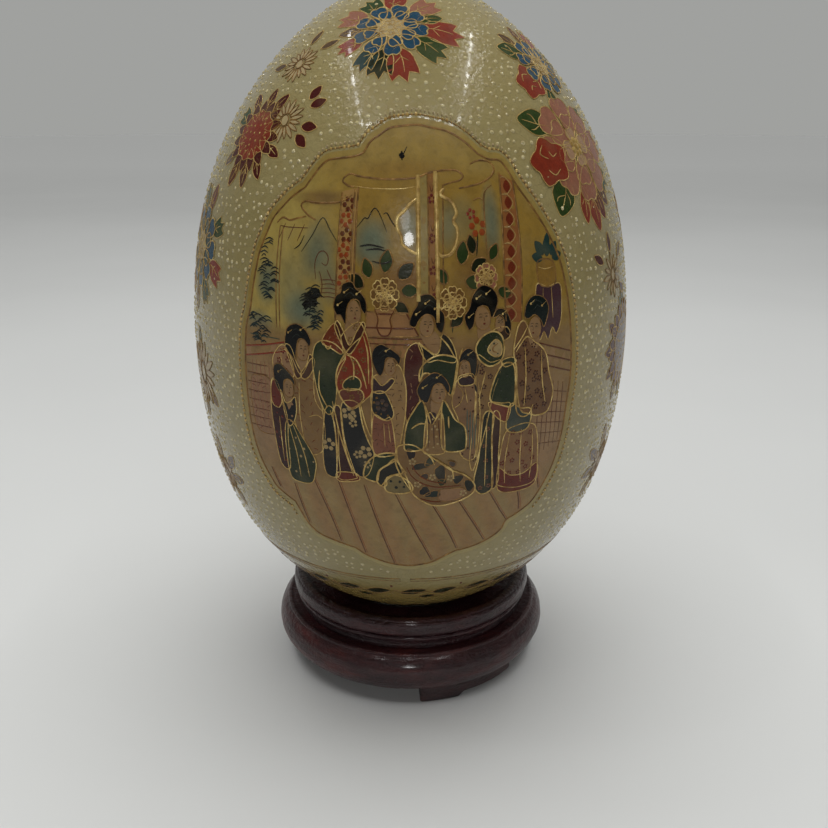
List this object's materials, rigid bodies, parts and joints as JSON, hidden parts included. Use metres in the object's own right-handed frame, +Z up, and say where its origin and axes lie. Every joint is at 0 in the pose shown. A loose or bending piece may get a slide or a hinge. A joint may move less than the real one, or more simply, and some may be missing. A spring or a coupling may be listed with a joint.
{
  "type": "decorated egg on stand",
  "caption": "Hollow enamelled porcelain egg with a painted figure scene in a lobed panel, resting in a turned, lacquered wooden ring stand with bracket feet; the egg lifts off.",
  "frame": {"origin": "on the floor, on the common axis of the egg and its stand", "axes": "+Z up along the axis of the egg; the painted front faces -Y; +X is to the right of the painted front"},
  "size_m": [0.1032, 0.1032, 0.165],
  "materials": {
    "egg_glaze": "glossy yellow-ivory crackle glaze with enamels, gilt lines and raised dots",
    "stand_lacquer": "dark red-brown gloss lacquer over turned hardwood",
    "foot_lacquer": "dark red-brown satin lacquer over sawn hardwood"
  },
  "bodies": {
    "stand": {"stand_seat_ring": "stand_lacquer", "stand_base_ring": "stand_lacquer", "stand_foot_1": "foot_lacquer", "stand_foot_2": "foot_lacquer", "stand_foot_3": "foot_lacquer"},
    "egg": {"egg_shell": "egg_glaze"}
  },
  "joints": [
    {"name": "egg_lift", "type": "slide", "parent": "stand", "child": "egg", "axis": [0, 0, 1], "range_m": [0, 0.06]}
  ]
}
